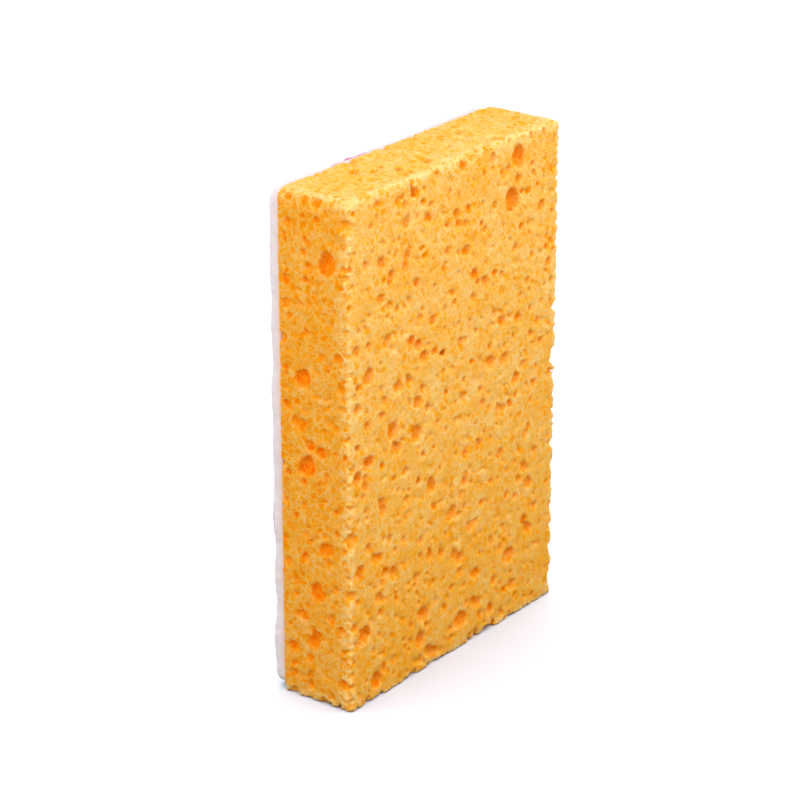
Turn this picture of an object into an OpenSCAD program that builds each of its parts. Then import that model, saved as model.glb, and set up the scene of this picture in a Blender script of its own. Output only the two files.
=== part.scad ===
// Cleaning sponge: a block of open-pored cellulose foam with a white fleece bonded to its back.
// It stands on one short end. X runs across the broad wiping face, Y from the wiping face
// (the foam, at -Y) to the fleece (at +Y), and Z is up. The origin is the centre of the base.

/* [Foam block] */
// Width across the broad wiping face
foam_w = 72.5; // [50:0.5:120]
// Height as it stands on its short end
foam_h = 110; // [70:0.5:180]
// Thickness of the foam alone
foam_t = 17.5; // [12:0.5:40]
// Radius of the outline corners, seen from the front
foam_corner_r = 2.2; // [1.2:0.1:6]
// Softening of the rim round the wiping face
foam_rim_r = 0.6; // [0.3:0.1:1.1]

/* [Fleece backing] */
// Thickness of the fleece
fleece_t = 3; // [1.5:0.1:6]
// How far the fleece stays inside the foam's outline, all round
fleece_inset = 0.4; // [0.2:0.1:2]
// Radius of its outline corners
fleece_corner_r = 3.4; // [2:0.1:6]
// Softening of the rim round its outer face
fleece_rim_r = 1.3; // [0.5:0.1:1.4]

/* [Pores] */
// Radius of a fully large void. The lists of voids give each radius as a share of it
void_r = 2; // [1.2:0.1:2.6]
// Distance between neighbouring pores of the even pattern
pore_pitch = 4.2; // [3.5:0.1:12]
// Radius of the smallest pores of the even pattern
pore_min_r = 0.6; // [0.4:0.05:1]
// Radius of its largest pores
pore_max_r = 1.4; // [1:0.05:2]
// Foam left between a pore and a large void
pore_wall = 0.4; // [0.2:0.1:2]
// How far a ball's centre lies under the surface, as a share of its radius
ball_sink = 0.25; // [0:0.05:0.6]
// Depth of a tapered pore, in radii
taper_depth = 1.6; // [1:0.1:2.5]

/* [Hidden] */

total_t = foam_t + fleece_t;
// The glue plane, where the foam's back meets the fleece
glue_y = total_t / 2 - fleece_t;
front_y = glue_y - foam_t;

RIM_FN = 48;
PORE_FN = 14;
// A pore of the even pattern is a ball from this radius up, and tapered below it
BALL_FROM_R = 0.95;
// A tapered pore's radius at its floor, as a share of its radius at the mouth
TAPER_FLOOR = 0.5;
// How far a tapered pore's cutter stands out of the face, so that the mouth is cut clean
MOUTH_MARGIN = 0.4;

// Large voids: [share across the face, share up the face, radius as a share of void_r, lean of
// the long axis in degrees, half the distance between its two balls in radii]. A last value of
// 0 is one ball.
FRONT_VOIDS = [
    [0.79, 0.96, 1.00, 80, 0.2], [0.76, 0.88, 1.10, 110, 0.2], [0.18, 0.71, 0.65, 20, 0.5],
    [0.09, 0.66, 0.70, 40, 0.4], [0.66, 0.57, 0.65, 160, 0.5], [0.20, 0.53, 0.75, 60, 0.3],
    [0.31, 0.50, 0.70, 80, 0.4], [0.09, 0.49, 0.70, 10, 0.4], [0.22, 0.49, 0.70, 0, 0.3],
    [0.04, 0.47, 0.65, 90, 0.2], [0.72, 0.46, 0.60, 0, 0.5], [0.38, 0.38, 0.65, 100, 0.5],
    [0.54, 0.35, 0.60, 0, 0], [0.48, 0.30, 0.70, 50, 0.3], [0.51, 0.20, 0.60, 140, 1.0],
    [0.07, 0.15, 0.80, 70, 0.2], [0.77, 0.14, 0.80, 10, 0.3], [0.34, 0.12, 0.80, 150, 0.3],
    [0.60, 0.08, 0.60, 150, 0.8], [0.53, 0.06, 0.90, 0, 0.3], [0.33, 0.07, 0.75, 60, 0.2],
    [0.12, 0.04, 0.80, 120, 0.2], [0.38, 0.03, 0.70, 145, 0.8], [0.79, 0.07, 0.60, 0, 0],
];
LEFT_VOIDS = [
    [0.70, 0.88, 0.90, 80, 0.5], [0.34, 0.65, 0.80, 60, 0.3], [0.40, 0.48, 0.90, 70, 0.3],
    [0.66, 0.32, 0.70, 0, 0.3], [0.52, 0.23, 0.75, 95, 0.4], [0.48, 0.13, 0.70, 60, 0.7],
];
TOP_VOIDS = [[0.24, 0.70, 0.65, 60, 0.4], [0.72, 0.66, 0.70, 20, 0.3], [0.44, 0.30, 0.60, 70, 0.4]];

// Bites out of the right front edge: [share up the edge, radius as a share of void_r]
EDGE_BITES = [[0.93, 0.45], [0.82, 0.40], [0.75, 0.45], [0.62, 0.65], [0.57, 0.40],
    [0.51, 0.50], [0.44, 0.40], [0.40, 0.45], [0.33, 0.60], [0.21, 0.35], [0.09, 0.45]];

// Large voids for a hidden face, spread evenly up it, in the form of the lists above
function seeded_voids(count, seed) = [
    for (i = [0 : count - 1])
        let (roll = rands(0, 1, 4, seed + i))
            [0.2 + 0.6 * roll[0], (i + 0.3 + 0.4 * roll[1]) / count, 0.6 + 0.25 * roll[2],
                180 * roll[3], 0.3]
];

// The foam's five open faces: [origin, turn, width, height, large voids, seed]. Each face's own
// Z axis points out of the foam.
FACES = [
    [[-foam_w / 2, front_y, 0], [90, 0, 0], foam_w, foam_h, FRONT_VOIDS, 11],
    [[-foam_w / 2, glue_y, 0], [90, 0, -90], foam_t, foam_h, LEFT_VOIDS, 23],
    [[foam_w / 2, front_y, 0], [90, 0, 90], foam_t, foam_h, seeded_voids(6, 5), 37],
    [[-foam_w / 2, front_y, foam_h], [0, 0, 0], foam_w, foam_t, TOP_VOIDS, 53],
    [[-foam_w / 2, front_y, 0], [180, 0, 90], foam_t, foam_w, seeded_voids(4, 9), 71],
];

// Distance from a point on a face to the wall of the nearest large void
function void_gap(p, voids, w, h) =
    min([for (v = voids)
        norm([p[0] - v[0] * w, p[1] - v[1] * h]) - v[2] * void_r * (1 + v[4])]);

// An even pattern of pores with jittered places and radii, as [x, y, radius]. Pores that would
// open into a large void are left out.
function even_pores(w, h, voids, seed) = [
    for (i = [0 : floor(w / pore_pitch) - 1], j = [0 : floor(h / pore_pitch) - 1])
        let (
            roll = rands(0, 1, 3, seed + 131 * i + 17 * j),
            x = (i + 0.5 + 0.8 * (roll[0] - 0.5)) * w / floor(w / pore_pitch),
            y = (j + 0.5 + 0.8 * (roll[1] - 0.5)) * h / floor(h / pore_pitch),
            r = pore_min_r + (pore_max_r - pore_min_r) * pow(roll[2], 3)
        )
        if (void_gap([x, y], voids, w, h) > r + pore_wall) [x, y, r]
];

// Section of a slab from its middle to its rim: the free face, at the top, has a rounded rim
module rim_section(reach, t, rim_r) {
    square([reach - rim_r, t]);
    square([reach, t - rim_r]);
    translate([reach - rim_r, t - rim_r]) circle(rim_r, $fn = RIM_FN);
}

// Slab with rounded outline corners and a rounded rim on its free face, which is at z = t.
// Its lower edge lies along y = 0.
module soft_slab(w, h, t, corner_r, rim_r) {
    inner_w = w - 2 * corner_r;
    inner_h = h - 2 * corner_r;
    for (x = [-1, 1], y = [corner_r, h - corner_r])
        translate([x * inner_w / 2, y, 0])
            rotate_extrude($fn = RIM_FN) rim_section(corner_r, t, rim_r);
    for (turn = [0, 180])
        translate([0, h / 2, 0]) rotate([0, 0, turn]) {
            translate([inner_w / 2, inner_h / 2, 0])
                rotate([90, 0, 0]) linear_extrude(inner_h) rim_section(corner_r, t, rim_r);
            translate([-inner_w / 2, inner_h / 2, 0])
                rotate([90, 0, 90]) linear_extrude(inner_w) rim_section(corner_r, t, rim_r);
        }
    // The middle is two crossing boxes, which run through the edges as far as the rims
    translate([rim_r - w / 2, corner_r, 0]) cube([w - 2 * rim_r, inner_h, t]);
    translate([-inner_w / 2, rim_r, 0]) cube([inner_w, h - 2 * rim_r, t]);
}

// A large void: one ball, or two that run into each other along its long axis
module large_void(r, lean, spread) {
    rotate([0, 0, lean])
        for (side = spread > 0 ? [-1, 1] : [0])
            translate([side * spread * r, 0, -ball_sink * r])
                sphere(r * (1 - 0.1 * side), $fn = PORE_FN);
}

// A pore of the even pattern: the larger ones are balls, the smaller ones narrow to a floor
module pore(r) {
    if (r >= BALL_FROM_R)
        translate([0, 0, -ball_sink * r]) sphere(r, $fn = PORE_FN);
    else {
        depth = taper_depth * r;
        flare = (1 - TAPER_FLOOR) * r * MOUTH_MARGIN / depth;
        translate([0, 0, -depth])
            cylinder(depth + MOUTH_MARGIN, TAPER_FLOOR * r, r + flare, $fn = PORE_FN);
    }
}

// Every opening on one face of the foam
module face_pores(face) {
    w = face[2];
    h = face[3];
    translate(face[0]) rotate(face[1]) {
        for (v = face[4])
            translate([v[0] * w, v[1] * h, 0]) large_void(v[2] * void_r, v[3], v[4]);
        for (p = even_pores(w, h, face[4], face[5]))
            translate([p[0], p[1], 0]) pore(p[2]);
    }
}

// Bites out of the right front edge
module edge_bites() {
    for (bite = EDGE_BITES)
        translate([foam_w / 2, front_y, bite[0] * foam_h])
            sphere(bite[1] * void_r, $fn = PORE_FN);
}

module foam_block() {
    color("orange") difference() {
        translate([0, glue_y, 0]) rotate([90, 0, 0])
            soft_slab(foam_w, foam_h, foam_t, foam_corner_r, foam_rim_r);
        for (face = FACES) face_pores(face);
        edge_bites();
    }
}

module fleece_backing() {
    color("white") translate([0, glue_y, fleece_inset]) rotate([90, 0, 0]) mirror([0, 0, 1])
        soft_slab(foam_w - 2 * fleece_inset, foam_h - 2 * fleece_inset, fleece_t,
            fleece_corner_r, fleece_rim_r);
}

foam_block();
fleece_backing();
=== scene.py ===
"""Looks for a cleaning sponge: open-pored cellulose foam with a white fleece bonded to its back.

The foam is carved as a level set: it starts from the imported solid, which has the larger pores, and
gains thousands of finer ones. Lengths are in metres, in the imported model's own frame.
"""
import math

import bpy
import numpy as np
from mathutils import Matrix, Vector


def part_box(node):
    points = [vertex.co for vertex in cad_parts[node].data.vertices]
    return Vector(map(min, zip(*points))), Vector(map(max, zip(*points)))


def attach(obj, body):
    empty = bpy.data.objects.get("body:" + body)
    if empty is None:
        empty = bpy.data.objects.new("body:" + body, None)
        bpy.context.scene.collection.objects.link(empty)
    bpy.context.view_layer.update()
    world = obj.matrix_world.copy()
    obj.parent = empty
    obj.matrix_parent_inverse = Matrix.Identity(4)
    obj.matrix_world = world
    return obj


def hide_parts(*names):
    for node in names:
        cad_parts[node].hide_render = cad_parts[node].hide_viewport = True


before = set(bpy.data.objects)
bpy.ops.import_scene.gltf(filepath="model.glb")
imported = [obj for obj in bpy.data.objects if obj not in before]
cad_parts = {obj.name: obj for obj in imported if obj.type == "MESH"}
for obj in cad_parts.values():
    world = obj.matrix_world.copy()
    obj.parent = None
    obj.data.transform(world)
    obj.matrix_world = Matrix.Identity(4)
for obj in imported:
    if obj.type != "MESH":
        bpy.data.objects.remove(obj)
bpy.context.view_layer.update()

import openvdb
from mathutils import Vector

MM = 0.001
SEED = 20261

SOLID_LOW, SOLID_HIGH = (np.array(corner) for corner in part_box("foam_block"))
GLUE_Y = SOLID_HIGH[1]
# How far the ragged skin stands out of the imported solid's open faces, and the foam's box with it
SKIN_RISE = 0.2 * MM
FOAM_LOW = SOLID_LOW - np.array([SKIN_RISE, SKIN_RISE, 0])
FOAM_HIGH = SOLID_HIGH + np.array([SKIN_RISE, 0, SKIN_RISE])

# Foam
FOAM_VOXEL = 0.3 * MM
FOAM_BAND = 11
FOAM_TRIANGLES = 196000
# Uneven skin and pore rims: (wavelength, spread on the faces, spread along the edges)
SKIN_NOISE = [(3.2 * MM, 0.04 * MM, 0.06 * MM), (1.5 * MM, 0.045 * MM, 0.1 * MM)]
# The foam below this height is as it is there, because it stands on a soft end
PRESSED = 0.9 * MM
# Shallow dimples all over: a range of radii of the mouth, and of depths as a share of the radius
DIMPLES = 2600
DIMPLE_MOUTH = (0.6 * MM, 1.2 * MM)
DIMPLE_SLOPE = (0.15, 0.35)
# Finer pores than the solid has, as a range of radii
PORES = 500
PORE_RADIUS = (0.5 * MM, 0.9 * MM)
# How far below the open faces they start
PORE_REACH = 2 * MM
# How deep the bites out of the foam's edges are, and how far from the edges they reach
EDGE_BITE = 0.42 * MM
EDGE_BITE_PITCH = 1.2 * MM
EDGE_REACH = 1.6 * MM
# How far behind its open faces the foam is left whole, next to the glue
GLUE_MARGIN = 0.5 * MM

# Fleece
FLEECE_VOXEL = 0.42 * MM
FLEECE_BAND = 6
FLEECE_TRIANGLES = 90000

# Light: how strong the white surroundings are, where a white surface in them alone would be 1
WORLD_LIGHT = 0.6
# The floor as the camera sees it, and as it throws light back on the sponge
FLOOR_SEEN = (0.66, 0.70, 0.78, 1)
FLOOR_BOUNCE = (0.24, 0.19, 0.16, 1)
# Lamps: (name, place, size, power in watts), those for the sponge and the one for the floor
SPONGE_LAMPS = [("front_lamp", (0.03, -0.22, 0.25), 0.25, 0.52), ("side_lamp", (-0.34, -0.07, 0.26), 0.25, 0.72),
                ("back_lamp", (0.1, 0.42, 0.15), 0.3, 0.9)]
FLOOR_LAMP = ("floor_lamp", (0, 0, 1.5), 3.0, 72)

# Camera, as fitted to the block's corners in the photograph
CAMERA_AZIMUTH = math.radians(-52.94)
CAMERA_ELEVATION = math.radians(21.98)
CAMERA_DISTANCE = 625.5 * MM
CAMERA_RIGHT = -4.70 * MM
CAMERA_UP = 0.78 * MM
CAMERA_LENS = 134.4


def srgb(red, green, blue):
    """A screen colour, 0 to 255 a channel, as the linear colour that a shader takes."""
    channels = [c / 255 for c in (red, green, blue)]
    return tuple(c / 12.92 if c <= 0.04045 else ((c + 0.055) / 1.055) ** 2.4 for c in channels) + (1.0,)


# Level sets


class Field:
    """Signed distances on a regular grid: negative inside the solid."""

    def __init__(self, node, voxel, band, scale=(1, 1, 1), fixed=(0, 0, 0)):
        """The node's solid, made larger by the scale, which leaves the fixed point where it is."""
        mesh = node.data
        mesh.calc_loop_triangles()
        points = np.empty(len(mesh.vertices) * 3, np.float32)
        mesh.vertices.foreach_get("co", points)
        corners = np.empty(len(mesh.loop_triangles) * 3, np.int32)
        mesh.loop_triangles.foreach_get("vertices", corners)
        points = (points.reshape(-1, 3) - fixed) * scale + fixed
        grid = openvdb.FloatGrid.createLevelSetFromPolygons(
            points.astype(np.float32), triangles=corners.reshape(-1, 3).astype(np.uint32),
            transform=openvdb.createLinearTransform(voxel), halfWidth=band)
        first, last = (np.array(corner) for corner in grid.evalActiveVoxelBoundingBox())
        self.voxel = voxel
        self.reach = band * voxel
        self.first = first
        self.values = np.empty(tuple(last - first + 1), np.float32)
        grid.copyToArray(self.values, ijk=tuple(int(i) for i in first))

    def axes(self):
        """The three rows of grid coordinates, in metres."""
        return [(self.first[i] + np.arange(self.values.shape[i])) * self.voxel for i in range(3)]

    def carve(self, centre, radii, turn):
        """Takes an ellipsoid out of the solid. turn is its rotation, as three unit rows."""
        widest = radii.max() + 2 * self.voxel
        low = np.floor((centre - widest) / self.voxel).astype(int) - self.first
        high = np.ceil((centre + widest) / self.voxel).astype(int) - self.first + 1
        low = np.maximum(low, 0)
        high = np.minimum(high, self.values.shape)
        if (low >= high).any():
            return
        offsets = [(self.first[i] + np.arange(low[i], high[i])) * self.voxel - centre[i] for i in range(3)]
        x, y, z = offsets[0][:, None, None], offsets[1][None, :, None], offsets[2][None, None, :]
        scaled = sum(((row[0] * x + row[1] * y + row[2] * z) / radius) ** 2
                     for row, radius in zip(turn, radii))
        depth = (1 - np.sqrt(scaled)) * radii.min()
        part = self.values[low[0]:high[0], low[1]:high[1], low[2]:high[2]]
        np.maximum(part, depth, out=part)

    def sample(self, array, points):
        """Values of an array of this grid's shape at points in metres, blended between grid points."""
        place = points / self.voxel - self.first
        place = np.clip(place, 0, np.array(array.shape) - 1.001)
        base = place.astype(int)
        share = place - base
        total = np.zeros(len(points))
        for corner in np.ndindex(2, 2, 2):
            weight = np.prod(np.where(corner, share, 1 - share), axis=1)
            total += weight * array[tuple((base + corner).T)]
        return total

    def mesh(self):
        """The solid's surface, as points and triangles."""
        grid = openvdb.FloatGrid(self.reach)
        grid.transform = openvdb.createLinearTransform(self.voxel)
        grid.copyFromArray(self.values, ijk=tuple(int(i) for i in self.first))
        points, triangles, quads = grid.convertToPolygons(0.0, 0.0)
        faces = [triangles.astype(np.int64)]
        quads = quads.astype(np.int64)
        faces += [quads[:, [0, 1, 2]], quads[:, [0, 2, 3]]]
        return points, np.concatenate(faces)


def smooth_noise(shape, wavelength, rng):
    """Noise without a preferred direction, with that wavelength in grid steps and a spread of 1."""
    spectrum = np.fft.rfftn(rng.standard_normal(shape, dtype=np.float32))
    squares = [np.fft.fftfreq(n) ** 2 for n in shape[:2]] + [np.fft.rfftfreq(shape[2]) ** 2]
    frequency = np.sqrt(squares[0][:, None, None] + squares[1][None, :, None] + squares[2][None, None, :])
    wanted = 1 / wavelength
    spectrum *= np.exp(-(((frequency - wanted) / (0.35 * wanted)) ** 2))
    noise = np.fft.irfftn(spectrum, shape).astype(np.float32)
    return noise / noise.std()


def blurred(array, width):
    """The array blurred by a bell curve of that width, in grid steps."""
    shape = array.shape
    squares = [np.fft.fftfreq(n) ** 2 for n in shape[:2]] + [np.fft.rfftfreq(shape[2]) ** 2]
    square = squares[0][:, None, None] + squares[1][None, :, None] + squares[2][None, None, :]
    spectrum = np.fft.rfftn(array) * np.exp(-2 * (math.pi * width) ** 2 * square)
    return np.fft.irfftn(spectrum, shape).astype(np.float32)


def spread(mask, seeds, steps):
    """What can be reached from the seeds inside the mask, in that many steps to a neighbour."""
    reached = seeds & mask
    for _ in range(steps):
        grown = reached.copy()
        for axis in range(3):
            ahead = [slice(None)] * 3
            behind = [slice(None)] * 3
            ahead[axis], behind[axis] = slice(1, None), slice(None, -1)
            grown[tuple(ahead)] |= reached[tuple(behind)]
            grown[tuple(behind)] |= reached[tuple(ahead)]
        grown &= mask
        if (grown == reached).all():
            break
        reached = grown
    return reached


def without_islands(field, whole):
    """Removes crumbs that hang free, and fills bubbles that no way leads into."""
    steps = 40
    solid = field.values < 0
    kept = spread(solid, whole < -0.8 * field.reach, steps)
    field.values[solid & ~kept] *= -1
    empty = field.values >= 0
    open_air = spread(empty, whole > 0.3 * field.reach, steps)
    field.values[empty & ~open_air] *= -1
    field.values[field.values == 0] = 1e-7


# Pieces


def new_piece(name, points, triangles, limit):
    """A smooth-shaded object of these triangles, brought down to the limit."""
    mesh = bpy.data.meshes.new(name)
    mesh.vertices.add(len(points))
    mesh.vertices.foreach_set("co", np.asarray(points, np.float32).ravel())
    mesh.loops.add(triangles.size)
    mesh.loops.foreach_set("vertex_index", triangles.astype(np.int32).ravel())
    mesh.polygons.add(len(triangles))
    mesh.polygons.foreach_set("loop_start", np.arange(0, triangles.size, 3, dtype=np.int32))
    mesh.update(calc_edges=True)
    piece = bpy.data.objects.new(name, mesh)
    bpy.context.scene.collection.objects.link(piece)
    if len(triangles) > limit:
        fewer = piece.modifiers.new("fewer", "DECIMATE")
        fewer.ratio = limit / len(triangles)
        evaluated = piece.evaluated_get(bpy.context.evaluated_depsgraph_get())
        smaller = bpy.data.meshes.new_from_object(evaluated)
        piece.modifiers.clear()
        piece.data = smaller
        bpy.data.meshes.remove(mesh)
        smaller.name = name
    piece.data.shade_smooth()
    return piece


def vertex_points(piece):
    points = np.empty(len(piece.data.vertices) * 3, np.float32)
    piece.data.vertices.foreach_get("co", points)
    return points.reshape(-1, 3).astype(float)


def store(piece, name, values):
    """One number for each vertex, for the piece's material."""
    attribute = piece.data.attributes.new(name, "FLOAT", "POINT")
    attribute.data.foreach_set("value", np.asarray(values, np.float32))


def random_turn(rng):
    """A random rotation, as three unit rows."""
    rows, _ = np.linalg.qr(rng.standard_normal((3, 3)))
    return rows


def open_sites(field, rng, count, deepest):
    """Random grid points at the foam's surface, away from the glue and down to that depth."""
    near = np.abs(field.values) < 0.2 * MM
    x, y, z = field.axes()
    near[:, y > GLUE_Y - GLUE_MARGIN, :] = False
    deep_x = (x > FOAM_LOW[0] + deepest) & (x < FOAM_HIGH[0] - deepest)
    deep_z = (z > FOAM_LOW[2] + deepest) & (z < FOAM_HIGH[2] - deepest)
    near[np.ix_(deep_x, y > FOAM_LOW[1] + deepest, deep_z)] = False
    sites = np.argwhere(near)
    return sites[rng.integers(0, len(sites), count)]


def carve_dimples(field, rng):
    """Shallow hollows, each cut by a ball whose centre lies outside the nearest open face."""
    sites = open_sites(field, rng, DIMPLES, 0.2 * MM)
    mouths = rng.uniform(*DIMPLE_MOUTH, DIMPLES)
    depths = mouths * rng.uniform(*DIMPLE_SLOPE, DIMPLES)
    for site, mouth, depth in zip(sites, mouths, depths):
        centre = (field.first + site) * field.voxel
        # Gaps to the five open faces, as how far to go along an axis to reach each
        steps = [(0, FOAM_LOW[0] - centre[0]), (0, FOAM_HIGH[0] - centre[0]), (1, FOAM_LOW[1] - centre[1]),
                 (2, FOAM_LOW[2] - centre[2]), (2, FOAM_HIGH[2] - centre[2])]
        axis, step = min(steps, key=lambda pair: abs(pair[1]))
        outward = -1 if axis == 1 or centre[axis] < (FOAM_LOW[axis] + FOAM_HIGH[axis]) / 2 else 1
        radius = (mouth ** 2 + depth ** 2) / (2 * depth)
        centre[axis] += step + outward * (radius - depth)
        if centre[1] + mouth < GLUE_Y - GLUE_MARGIN:
            field.carve(centre, np.full(3, radius), np.eye(3))


def carve_pores(field, rng):
    """Finer pores over the open faces and in the walls of the larger ones."""
    sites = open_sites(field, rng, PORES, PORE_REACH)
    smallest, largest = PORE_RADIUS
    radii = smallest * (largest / smallest) ** (rng.random(PORES) ** 1.5)
    stretch = rng.uniform(1.0, 1.4, PORES)
    for site, radius, longer in zip(sites, radii, stretch):
        centre = (field.first + site + rng.uniform(-0.5, 0.5, 3)) * field.voxel
        if centre[1] + radius < GLUE_Y - GLUE_MARGIN:
            field.carve(centre, radius * np.array([longer, 1.0, 1.0]), random_turn(rng))


def edge_nearness(field):
    """1 at the foam's edges and 0 from EDGE_REACH on. The edge next to the glue has less."""
    x, y, z = field.axes()
    gap_x = np.minimum(x - FOAM_LOW[0], FOAM_HIGH[0] - x)[:, None, None]
    gap_y = (y - FOAM_LOW[1])[None, :, None]
    gap_z = np.minimum(z - FOAM_LOW[2], FOAM_HIGH[2] - z)[None, None, :]
    second = np.maximum(np.minimum(gap_x, gap_y), np.minimum(np.maximum(gap_x, gap_y), gap_z))
    near_edge = np.clip(1 - second / EDGE_REACH, 0, 1)
    first = np.minimum(np.minimum(gap_x, gap_y), gap_z)
    near_glue = np.clip(1 - (GLUE_Y - y) / EDGE_REACH, 0, 1)[None, :, None] * (first < EDGE_REACH)
    return np.maximum(near_edge, 0.8 * near_glue * (gap_y > EDGE_REACH)).astype(np.float32)


def make_foam():
    rng = np.random.default_rng(SEED)
    scale = (FOAM_HIGH - FOAM_LOW) / (SOLID_HIGH - SOLID_LOW)
    field = Field(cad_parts["foam_block"], FOAM_VOXEL, FOAM_BAND, scale, (0, GLUE_Y, 0))
    heights = field.axes()[2]
    pressed = np.searchsorted(heights, PRESSED)
    field.values[:, :, :pressed] = field.values[:, :, pressed:pressed + 1]
    below = -heights[None, None, :].astype(np.float32)
    np.maximum(field.values, below, out=field.values)
    whole = field.values.copy()
    # The unevenness fades out towards the glue
    fade = np.clip((GLUE_Y - GLUE_MARGIN - field.axes()[1]) / MM, 0, 1)[None, :, None].astype(np.float32)
    carve_dimples(field, rng)
    carve_pores(field, rng)
    shape = field.values.shape
    near_edge = edge_nearness(field)
    for wavelength, on_faces, on_edges in SKIN_NOISE:
        amount = fade * (on_faces + (on_edges - on_faces) * near_edge)
        field.values += amount * smooth_noise(shape, wavelength / field.voxel, rng)
    bites = np.clip(smooth_noise(shape, EDGE_BITE_PITCH / field.voxel, rng), 0, 2)
    field.values += EDGE_BITE * near_edge * bites
    field.values = blurred(field.values, 0.6)
    np.maximum(field.values, below, out=field.values)
    without_islands(field, whole)
    points, triangles = field.mesh()
    piece = new_piece("sponge_foam", points, triangles, FOAM_TRIANGLES)
    at = vertex_points(piece)
    # The foam counts as going on behind the glue, so that it has no exposed edge there
    solid = (field.values < 0).astype(np.float32)
    rows = solid.shape[1]
    last = np.flatnonzero(field.axes()[1] < GLUE_Y - 2 * field.voxel)[-1]
    solid = np.pad(solid[:, :last + 1], ((0, 0), (0, rows - last + 23), (0, 0)), mode="edge")
    store(piece, "hollow", 2 * field.sample(blurred(solid, 0.9 * MM / field.voxel)[:, :rows], at) - 1)
    store(piece, "broad_hollow", 2 * field.sample(blurred(solid, 2.2 * MM / field.voxel)[:, :rows], at) - 1)
    side = np.minimum(at[:, 0] - FOAM_LOW[0], FOAM_HIGH[0] - at[:, 0])
    front = at[:, 1] - FOAM_LOW[1]
    end = np.minimum(at[:, 2] - FOAM_LOW[2], FOAM_HIGH[2] - at[:, 2])
    store(piece, "depth", np.clip(np.minimum(np.minimum(side, front), end), 0, None) / MM)
    store(piece, "side", np.clip(0.5 + (np.minimum(front, end) - side) / (2 * MM), 0, 1))
    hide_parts("foam_block")
    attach(piece, "root")
    return piece


def make_fleece():
    rng = np.random.default_rng(SEED + 1)
    field = Field(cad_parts["fleece_backing"], FLEECE_VOXEL, FLEECE_BAND)
    fade = np.clip((field.axes()[1] - GLUE_Y - 0.3 * MM) / MM, 0, 1)[None, :, None].astype(np.float32)
    shape = field.values.shape
    field.values += 0.15 * MM * fade * smooth_noise(shape, 14 * MM / field.voxel, rng)
    field.values += 0.06 * MM * fade * smooth_noise(shape, 1.8 * MM / field.voxel, rng)
    points, triangles = field.mesh()
    piece = new_piece("sponge_fleece", points, triangles, FLEECE_TRIANGLES)
    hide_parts("fleece_backing")
    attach(piece, "root")
    return piece


# Materials


class Nodes:
    """Short names for building a material's node tree."""

    def __init__(self, name):
        self.material = bpy.data.materials.new(name)
        self.material.use_nodes = True
        self.tree = self.material.node_tree
        self.tree.nodes.clear()

    def add(self, kind, **settings):
        node = self.tree.nodes.new(kind)
        for key, value in settings.items():
            setattr(node, key, value)
        return node

    def link(self, output, socket):
        self.tree.links.new(output, socket)

    def feed(self, socket, value):
        """A plain value, or the output of another node, into a socket."""
        if isinstance(value, bpy.types.NodeSocket):
            self.link(value, socket)
        else:
            socket.default_value = value

    def attribute(self, name):
        return self.add("ShaderNodeAttribute", attribute_name=name).outputs["Fac"]

    def math(self, operation, *values):
        node = self.add("ShaderNodeMath", operation=operation)
        for socket, value in zip(node.inputs, values):
            self.feed(socket, value)
        return node.outputs[0]

    def span(self, value, low, high, out_low=0.0, out_high=1.0):
        """value, moved from the range low to high to the range out_low to out_high, and kept in it."""
        node = self.add("ShaderNodeMapRange", clamp=True)
        for name, given in zip(("Value", "From Min", "From Max", "To Min", "To Max"),
                               (value, low, high, out_low, out_high)):
            self.feed(node.inputs[name], given)
        return node.outputs["Result"]

    def ramp(self, value, stops):
        """A colour for each value from 0 to 1, blended between the stops."""
        node = self.add("ShaderNodeValToRGB")
        self.link(value, node.inputs["Fac"])
        elements = node.color_ramp.elements
        while len(elements) < len(stops):
            elements.new(1.0)
        for element, (position, colour) in zip(elements, stops):
            element.position = position
            element.color = colour
        return node.outputs["Color"]

    def mix(self, share, first, second):
        node = self.add("ShaderNodeMix", data_type="RGBA")
        self.feed(node.inputs["Factor"], share)
        self.feed(node.inputs[6], first)
        self.feed(node.inputs[7], second)
        return node.outputs[2]

    def place(self):
        return self.add("ShaderNodeTexCoord").outputs["Object"]

    def noise(self, place, wavelength, detail=2.0, roughness=0.5):
        node = self.add("ShaderNodeTexNoise")
        self.link(place, node.inputs["Vector"])
        node.inputs["Scale"].default_value = 1 / wavelength
        node.inputs["Detail"].default_value = detail
        node.inputs["Roughness"].default_value = roughness
        return node.outputs["Fac"]

    def warped(self, place, wavelength, amount):
        """Object coordinates, pushed about by noise."""
        noise = self.add("ShaderNodeTexNoise")
        self.link(place, noise.inputs["Vector"])
        noise.inputs["Scale"].default_value = 1 / wavelength
        noise.inputs["Detail"].default_value = 1.0
        push = self.add("ShaderNodeVectorMath", operation="MULTIPLY_ADD")
        self.link(noise.outputs["Color"], push.inputs[0])
        push.inputs[1].default_value = (2 * amount,) * 3
        self.link(place, push.inputs[2])
        return push.outputs[0]

    def cells(self, place, size, filled):
        """Cups of random depth, a share of them filled, and the thin walls between the cups."""
        edges = self.add("ShaderNodeTexVoronoi", feature="DISTANCE_TO_EDGE")
        middles = self.add("ShaderNodeTexVoronoi", feature="F1")
        for node in (edges, middles):
            self.link(place, node.inputs["Vector"])
            node.inputs["Scale"].default_value = 1 / size
        number = self.add("ShaderNodeSeparateColor")
        self.link(middles.outputs["Color"], number.inputs[0])
        amount = self.span(number.outputs[0], filled, 1.0)
        cups = self.math("MULTIPLY", self.span(edges.outputs["Distance"], 0.05, 0.32), amount)
        return cups, self.span(edges.outputs["Distance"], 0.0, 0.13, 1.0, 0.0)

    def bump(self, height, distance, strength=1.0, normal=None):
        node = self.add("ShaderNodeBump")
        node.inputs["Strength"].default_value = strength
        node.inputs["Distance"].default_value = distance
        self.link(height, node.inputs["Height"])
        if normal is not None:
            self.link(normal, node.inputs["Normal"])
        return node.outputs["Normal"]

    def finish(self, shader):
        output = self.add("ShaderNodeOutputMaterial")
        self.link(shader, output.inputs["Surface"])
        return self.material


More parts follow.
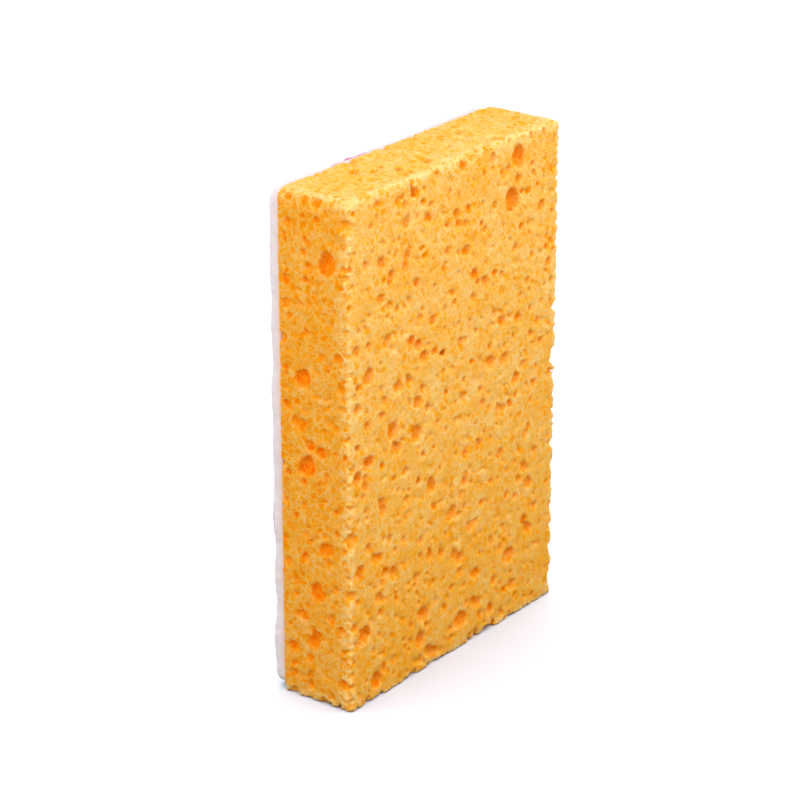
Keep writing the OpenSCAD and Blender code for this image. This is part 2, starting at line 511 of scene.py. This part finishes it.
# The foam's colour for each depth of dye, from thin walls to the floors of deep pores. The deep end also carries
# painted shade, the pale end a painted highlight
DYE_TONES = [(0.1, srgb(255, 211, 138)), (0.33, srgb(255, 185, 82)), (0.43, srgb(255, 172, 48)),
             (0.62, srgb(255, 161, 4)), (0.8, srgb(255, 144, 0)), (1.0, srgb(255, 122, 0))]
DYE_RANGE = 3.0
# The narrow sides have more dye, and more of a difference between walls and pores
SIDE_DYE = 0.32
SIDE_CONTRAST = 1.7
# How much of the pits' painted shade those on the front have
FRONT_PIT_SHADE = 0.35
# Painted shade: the front's dye gets deeper towards the bottom, where less light falls: by how much, and from
# which height down
FOOT_PAINTED_SHADE = 0.26
FOOT_HEIGHT = 62 * MM


def foam_material():
    n = Nodes("sponge_foam")
    place = n.warped(n.warped(n.place(), 5 * MM, 1.2 * MM), 0.9 * MM, 0.25 * MM)
    hollow = n.attribute("hollow")
    depth = n.attribute("depth")
    broken = n.noise(n.place(), 2.2 * MM, 3.0, 0.6)
    grain = n.noise(place, 0.3 * MM, 2.0, 0.6)
    patches = n.noise(n.place(), 6 * MM, 2.0)
    large_cups, large_walls = n.cells(place, 1.8 * MM, 0.4)
    small_cups, small_walls = n.cells(place, 0.95 * MM, 0.0)
    large_walls = n.math("MULTIPLY", large_walls, n.span(broken, 0.35, 0.5, 0.4, 1.0))
    small_walls = n.math("MULTIPLY", small_walls, n.span(broken, 0.65, 0.5, 0.3, 0.9))
    walls = n.math("MAXIMUM", large_walls, small_walls)
    cups = n.math("MULTIPLY_ADD", small_cups, 0.6, n.math("MULTIPLY", large_cups, 0.7))
    # Painted shade: pores and deep hollows get more dye, for the shade and the orange light bouncing inside them
    painted_pit_shade = n.math("MAXIMUM", n.span(depth, 0.15, 1.1), n.span(hollow, 0.08, 0.5))
    # Painted highlight: the edges, where the foam is thin, are made paler for the light that shines through
    # them, broken up by noise
    edge = n.math("ADD", n.span(n.attribute("broad_hollow"), -0.1, -0.42), n.span(grain, 0.3, 0.7, -0.2, 0.2))
    edge = n.math("ADD", edge, n.span(n.noise(n.place(), 3 * MM, 2.0), 0.3, 0.7, -0.3, 0.3))
    edge = n.span(edge, 0.0, 1.0)
    # How much dye the light goes through: little in thin walls, much in the pores. Painted shade adds to it in
    # the pits and towards the bottom, and a painted highlight takes from it along the edges
    side = n.attribute("side")
    cell = n.math("SUBTRACT", n.math("MULTIPLY", cups, 0.8), n.math("MULTIPLY", walls, 0.4))
    dye = n.math("MULTIPLY_ADD", side, SIDE_DYE, 1.12)
    dye = n.math("MULTIPLY_ADD", cell, n.span(side, 0.0, 1.0, 1.25, SIDE_CONTRAST), dye)
    painted_pit_shade = n.math("MULTIPLY", painted_pit_shade, n.span(side, 0.0, 1.0, FRONT_PIT_SHADE, 1.0))
    dye = n.math("MULTIPLY_ADD", painted_pit_shade, n.span(walls, 0.0, 1.0, 0.9, 0.55), dye)
    dye = n.math("MULTIPLY_ADD", edge, -0.6, dye)
    parts = n.add("ShaderNodeSeparateXYZ")
    n.link(n.place(), parts.inputs[0])
    # Painted shade: deeper colour low on the front and the ends, for the light that falls off towards the bottom
    painted_foot_shade = n.math("MULTIPLY", n.span(parts.outputs[2], FOOT_HEIGHT, 0.0, 0.0, FOOT_PAINTED_SHADE),
                  n.math("SUBTRACT", 1.0, side))
    # Painted shade: more dye where the surface lies deeper than 1 mm in the block; grain and patches are the
    # foam's own uneven tone
    for part in (painted_foot_shade, n.span(depth, 1.0, 3.0, 0.0, 0.2), n.span(grain, 0.3, 0.7, 0.1, -0.1),
                 n.span(patches, 0.35, 0.65, 0.1, -0.1)):
        dye = n.math("ADD", dye, part)
    shader = n.add("ShaderNodeBsdfPrincipled")
    n.link(n.ramp(n.math("DIVIDE", dye, DYE_RANGE), DYE_TONES), shader.inputs["Base Color"])
    shader.inputs["Roughness"].default_value = 0.92
    shader.inputs["Specular IOR Level"].default_value = 0.1
    shader.inputs["Subsurface Weight"].default_value = 1.0
    shader.inputs["Subsurface Radius"].default_value = (0.6, 0.35, 0.2)
    shader.inputs["Subsurface Scale"].default_value = 1.0 * MM
    height = n.math("SUBTRACT", n.math("MULTIPLY_ADD", grain, 0.3, n.math("MULTIPLY", walls, 0.5)), cups)
    n.link(n.bump(height, 0.2 * MM, 0.28), shader.inputs["Normal"])
    return n.finish(shader.outputs["BSDF"])


FLEECE_PLAIN = srgb(244, 239, 243)
FLEECE_SHADE = srgb(236, 228, 234)
# Painted reflection: the foam's orange light, thrown onto the fleece next to the glue
FLEECE_PAINTED_BOUNCE = srgb(238, 212, 196)
PINK_DYE = srgb(226, 88, 136)
GREEN_DYE = srgb(150, 190, 170)
# Where a little dye shows on the rim, in millimetres: (middle, reach along each axis, colour)
DYED_SPOTS = [((-11.0, 9.4, 109.4), (7.5, 1.4, 1.2), PINK_DYE), ((-24.5, 9.8, 109.4), (3.6, 0.8, 0.8), PINK_DYE),
              ((-36.0, 9.9, 37.0), (0.7, 0.8, 4.0), PINK_DYE), ((-3.2, 9.8, 109.4), (1.6, 0.8, 0.8), GREEN_DYE),
              ((16.8, 9.8, 109.4), (1.2, 0.8, 0.8), GREEN_DYE)]


def fleece_material():
    n = Nodes("sponge_fleece")
    place = n.place()
    fibres = n.noise(n.warped(place, 2 * MM, 0.5 * MM), 0.45 * MM, 4.0, 0.7)
    colour = n.mix(n.span(n.noise(place, 3 * MM, 3.0), 0.35, 0.65), FLEECE_PLAIN, FLEECE_SHADE)
    parts = n.add("ShaderNodeSeparateXYZ")
    n.link(place, parts.inputs[0])
    from_glue = n.math("SUBTRACT", parts.outputs[1], GLUE_Y)
    # Painted reflection: the fleece takes on the foam's orange light towards the glue
    colour = n.mix(n.span(from_glue, 0.0, 1.3 * MM, 0.7, 0.0), colour, FLEECE_PAINTED_BOUNCE)
    streaks = n.span(n.noise(place, 1.2 * MM, 3.0, 0.7), 0.43, 0.52)
    for middle, reach, dye in DYED_SPOTS:
        apart = n.add("ShaderNodeVectorMath", operation="SUBTRACT")
        n.link(place, apart.inputs[0])
        apart.inputs[1].default_value = [MM * value for value in middle]
        shares = n.add("ShaderNodeVectorMath", operation="DIVIDE")
        n.link(apart.outputs[0], shares.inputs[0])
        shares.inputs[1].default_value = [MM * value for value in reach]
        length = n.add("ShaderNodeVectorMath", operation="LENGTH")
        n.link(shares.outputs[0], length.inputs[0])
        inside = n.span(length.outputs["Value"], 0.6, 1.0, 0.85, 0.0)
        colour = n.mix(n.math("MULTIPLY", inside, streaks), colour, dye)
    shader = n.add("ShaderNodeBsdfPrincipled")
    n.link(colour, shader.inputs["Base Color"])
    shader.inputs["Roughness"].default_value = 0.95
    shader.inputs["Specular IOR Level"].default_value = 0.1
    shader.inputs["Subsurface Weight"].default_value = 0.5
    shader.inputs["Subsurface Radius"].default_value = (1.0, 0.9, 0.9)
    shader.inputs["Subsurface Scale"].default_value = 0.6 * MM
    n.link(n.bump(fibres, 0.15 * MM, 0.8), shader.inputs["Normal"])
    return n.finish(shader.outputs["BSDF"])


# Surroundings


def floor_material():
    n = Nodes("floor")
    path = n.add("ShaderNodeLightPath")
    seen = n.math("MAXIMUM", path.outputs["Is Camera Ray"], path.outputs["Is Glossy Ray"])
    seen = n.math("MAXIMUM", seen, path.outputs["Is Transmission Ray"])
    shader = n.add("ShaderNodeBsdfDiffuse")
    n.link(n.mix(seen, FLOOR_BOUNCE, FLOOR_SEEN), shader.inputs["Color"])
    return n.finish(shader.outputs[0])


def make_floor():
    size = 3.0
    mesh = bpy.data.meshes.new("floor")
    corners = [(x * size, y * size, 0.0) for x, y in ((-1, -1), (1, -1), (1, 1), (-1, 1))]
    mesh.from_pydata(corners, [], [(0, 1, 2, 3)])
    floor = bpy.data.objects.new("floor", mesh)
    bpy.context.scene.collection.objects.link(floor)
    mesh.materials.append(floor_material())
    return floor


def make_world():
    world = bpy.data.worlds.new("studio")
    bpy.context.scene.world = world
    world.use_nodes = True
    tree = world.node_tree
    background = tree.nodes["Background"]
    background.inputs["Color"].default_value = (1, 1, 1, 1)
    path = tree.nodes.new("ShaderNodeLightPath")
    seen = path.outputs["Is Camera Ray"]
    for kind in ("Is Glossy Ray", "Is Transmission Ray"):
        either = tree.nodes.new("ShaderNodeMath")
        either.operation = "MAXIMUM"
        tree.links.new(seen, either.inputs[0])
        tree.links.new(path.outputs[kind], either.inputs[1])
        seen = either.outputs[0]
    strength = tree.nodes.new("ShaderNodeMath")
    strength.operation = "MULTIPLY_ADD"
    tree.links.new(seen, strength.inputs[0])
    strength.inputs[1].default_value = 1 - WORLD_LIGHT
    strength.inputs[2].default_value = WORLD_LIGHT
    tree.links.new(strength.outputs[0], background.inputs["Strength"])


def area_light(lamp, target, lit):
    """A square lamp that lights only the objects of one collection."""
    name, place, size, power = lamp
    data = bpy.data.lights.new(name, "AREA")
    data.shape = "SQUARE"
    data.size = size
    data.energy = power
    light = bpy.data.objects.new(name, data)
    bpy.context.scene.collection.objects.link(light)
    light.location = place
    light.rotation_mode = "QUATERNION"
    light.rotation_quaternion = (Vector(target) - Vector(place)).to_track_quat("-Z", "Y")
    light.light_linking.receiver_collection = lit


def make_lights(pieces, floor):
    """Lamps for the sponge, and a wide one overhead for the floor, which is brighter than the sponge."""
    for name, things, lamps, target in (("sponge", pieces, SPONGE_LAMPS, (0, 0, FOAM_HIGH[2])),
                                        ("ground", [floor], [FLOOR_LAMP], (0, 0, 0))):
        lit = bpy.data.collections.new(name)
        for thing in things:
            lit.objects.link(thing)
        for lamp in lamps:
            area_light(lamp, target, lit)


def make_camera():
    data = bpy.data.cameras.new("camera")
    data.lens = CAMERA_LENS
    data.clip_start = 0.01
    data.clip_end = 20
    camera = bpy.data.objects.new("camera", data)
    bpy.context.scene.collection.objects.link(camera)
    azimuth, elevation = CAMERA_AZIMUTH, CAMERA_ELEVATION
    back = Vector((math.sin(azimuth) * math.cos(elevation), -math.cos(azimuth) * math.cos(elevation),
                   math.sin(elevation)))
    right = Vector((math.cos(azimuth), math.sin(azimuth), 0))
    up = back.cross(right)
    middle = Vector((SOLID_LOW + SOLID_HIGH) / 2)
    camera.location = middle + back * CAMERA_DISTANCE + right * CAMERA_RIGHT + up * CAMERA_UP
    camera.rotation_mode = "QUATERNION"
    camera.rotation_quaternion = (-back).to_track_quat("-Z", "Y")
    bpy.context.scene.camera = camera


make_camera()
foam = make_foam()
foam.data.materials.append(foam_material())
fleece = make_fleece()
fleece.data.materials.append(fleece_material())
floor = make_floor()
make_world()
make_lights([foam, fleece], floor)
bpy.context.scene.view_settings.view_transform = "Standard"
